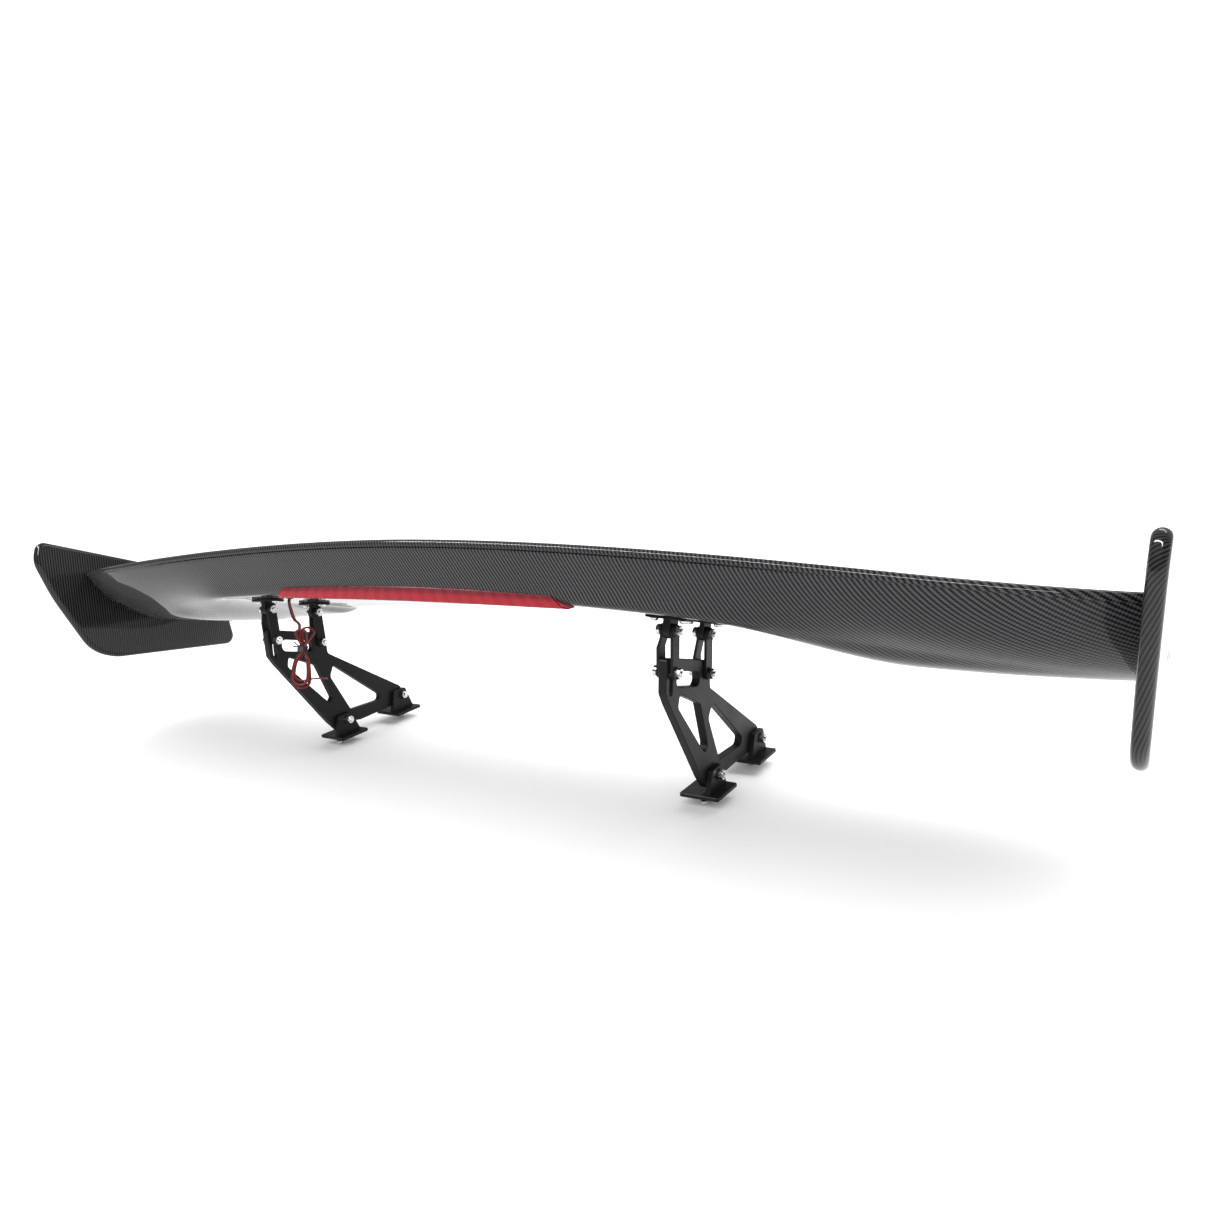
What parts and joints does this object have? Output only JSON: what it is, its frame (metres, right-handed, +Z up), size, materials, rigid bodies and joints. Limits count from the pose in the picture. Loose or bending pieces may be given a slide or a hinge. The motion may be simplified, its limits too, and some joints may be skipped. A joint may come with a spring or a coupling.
{
  "type": "racing rear wing",
  "caption": "Arched carbon-look rear wing with upswept lip, rounded end plates, let-in brake light and leaning cut-out stands whose links set the blade's tilt.",
  "frame": {"origin": "middle of the assembly's footprint in plan, on the ground under the bolts below the feet", "axes": "+X to the right seen from behind the car (along the span), +Y forwards, +Z up"},
  "size_m": [1.453, 0.2994, 0.3155],
  "materials": {
    "carbon_skin": "twill carbon weave under clear gloss lacquer",
    "black_metal": "satin black anodised",
    "bright_hardware": "bright stainless",
    "rib_plastic": "matt black",
    "brake_light_lens": "clear red, gloss",
    "brake_light_tray": "matt black",
    "brake_light_board": "green circuit board",
    "lead_grommet": "matt black",
    "lead_cover": "twin lead, one core red and one black"
  },
  "bodies": {
    "stands": {"left_front_foot_bolt": "bright_hardware", "left_front_link_inner": "black_metal", "left_front_link_outer": "black_metal", "left_front_lower_bolt": "bright_hardware", "left_front_upper_bolt": "bright_hardware", "left_rear_foot_bolt": "bright_hardware", "left_stand_frame": "black_metal", "right_front_foot_bolt": "bright_hardware", "right_front_link_inner": "black_metal", "right_front_link_outer": "black_metal", "right_front_lower_bolt": "bright_hardware", "right_front_upper_bolt": "bright_hardware", "right_rear_foot_bolt": "bright_hardware", "right_stand_frame": "black_metal"},
    "wing": {"brake_light_board": "brake_light_board", "brake_light_lens": "brake_light_lens", "brake_light_tray": "brake_light_tray", "lamp_lead": "lead_cover", "lead_grommet": "lead_grommet", "lead_hank": "lead_cover", "lead_tail": "lead_cover", "left_backing_plate": "black_metal", "left_end_plate": "carbon_skin", "left_end_plate_screw_front": "bright_hardware", "left_end_plate_screw_rear": "bright_hardware", "left_end_rib": "rib_plastic", "left_front_bracket": "black_metal", "left_front_bracket_screw_inner": "bright_hardware", "left_front_bracket_screw_outer": "bright_hardware", "left_rear_bracket": "black_metal", "left_rear_bracket_screw_inner": "bright_hardware", "left_rear_bracket_screw_outer": "bright_hardware", "right_backing_plate": "black_metal", "right_end_plate": "carbon_skin", "right_end_plate_screw_front": "bright_hardware", "right_end_plate_screw_rear": "bright_hardware", "right_end_rib": "rib_plastic", "right_front_bracket": "black_metal", "right_front_bracket_screw_inner": "bright_hardware", "right_front_bracket_screw_outer": "bright_hardware", "right_rear_bracket": "black_metal", "right_rear_bracket_screw_inner": "bright_hardware", "right_rear_bracket_screw_outer": "bright_hardware", "wing_blade": "carbon_skin"},
    "left_rear_links": {"left_rear_link_inner": "black_metal", "left_rear_link_outer": "black_metal", "left_rear_lower_bolt": "bright_hardware", "left_rear_upper_bolt": "bright_hardware"},
    "right_rear_links": {"right_rear_link_inner": "black_metal", "right_rear_link_outer": "black_metal", "right_rear_lower_bolt": "bright_hardware", "right_rear_upper_bolt": "bright_hardware"},
    "left_front_foot": {"left_front_foot": "black_metal", "left_front_foot_ground_bolt": "bright_hardware"},
    "left_rear_foot": {"left_rear_foot": "black_metal", "left_rear_foot_ground_bolt": "bright_hardware"},
    "right_front_foot": {"right_front_foot": "black_metal", "right_front_foot_ground_bolt": "bright_hardware"},
    "right_rear_foot": {"right_rear_foot": "black_metal", "right_rear_foot_ground_bolt": "bright_hardware"}
  },
  "joints": [
    {"name": "wing_tilt", "type": "hinge", "parent": "stands", "child": "wing", "pos_m": [0, 0.0098, 0.19076], "axis": [1, 0, 0], "range_deg": [0, 7]},
    {"name": "left_rear_link_pivot", "type": "hinge", "parent": "wing", "child": "left_rear_links", "pos_m": [-0.30692, -0.0622, 0.21151], "axis": [1, 0, 0], "range_deg": [-7, 0]},
    {"name": "right_rear_link_pivot", "type": "hinge", "parent": "wing", "child": "right_rear_links", "pos_m": [0.30692, -0.0622, 0.21151], "axis": [1, 0, 0], "range_deg": [-7, 0]},
    {"name": "left_rear_foot_swivel", "type": "hinge", "parent": "stands", "child": "left_rear_foot", "pos_m": [-0.29464, 0.0225, 0.03143], "axis": [0.9977, 0, 0.068], "range_deg": [-10, 10]},
    {"name": "left_front_foot_swivel", "type": "hinge", "parent": "stands", "child": "left_front_foot", "pos_m": [-0.29492, 0.1303, 0.03552], "axis": [0.9977, 0, 0.068], "range_deg": [-10, 10]},
    {"name": "right_rear_foot_swivel", "type": "hinge", "parent": "stands", "child": "right_rear_foot", "pos_m": [0.29464, 0.0225, 0.03143], "axis": [0.9977, 0, -0.068], "range_deg": [-10, 10]},
    {"name": "right_front_foot_swivel", "type": "hinge", "parent": "stands", "child": "right_front_foot", "pos_m": [0.29492, 0.1303, 0.03552], "axis": [0.9977, 0, -0.068], "range_deg": [-10, 10]}
  ],
  "couplings": [
    {"joint": "left_rear_link_pivot", "follows": "wing_tilt", "ratio": -1},
    {"joint": "right_rear_link_pivot", "follows": "wing_tilt", "ratio": -1}
  ]
}
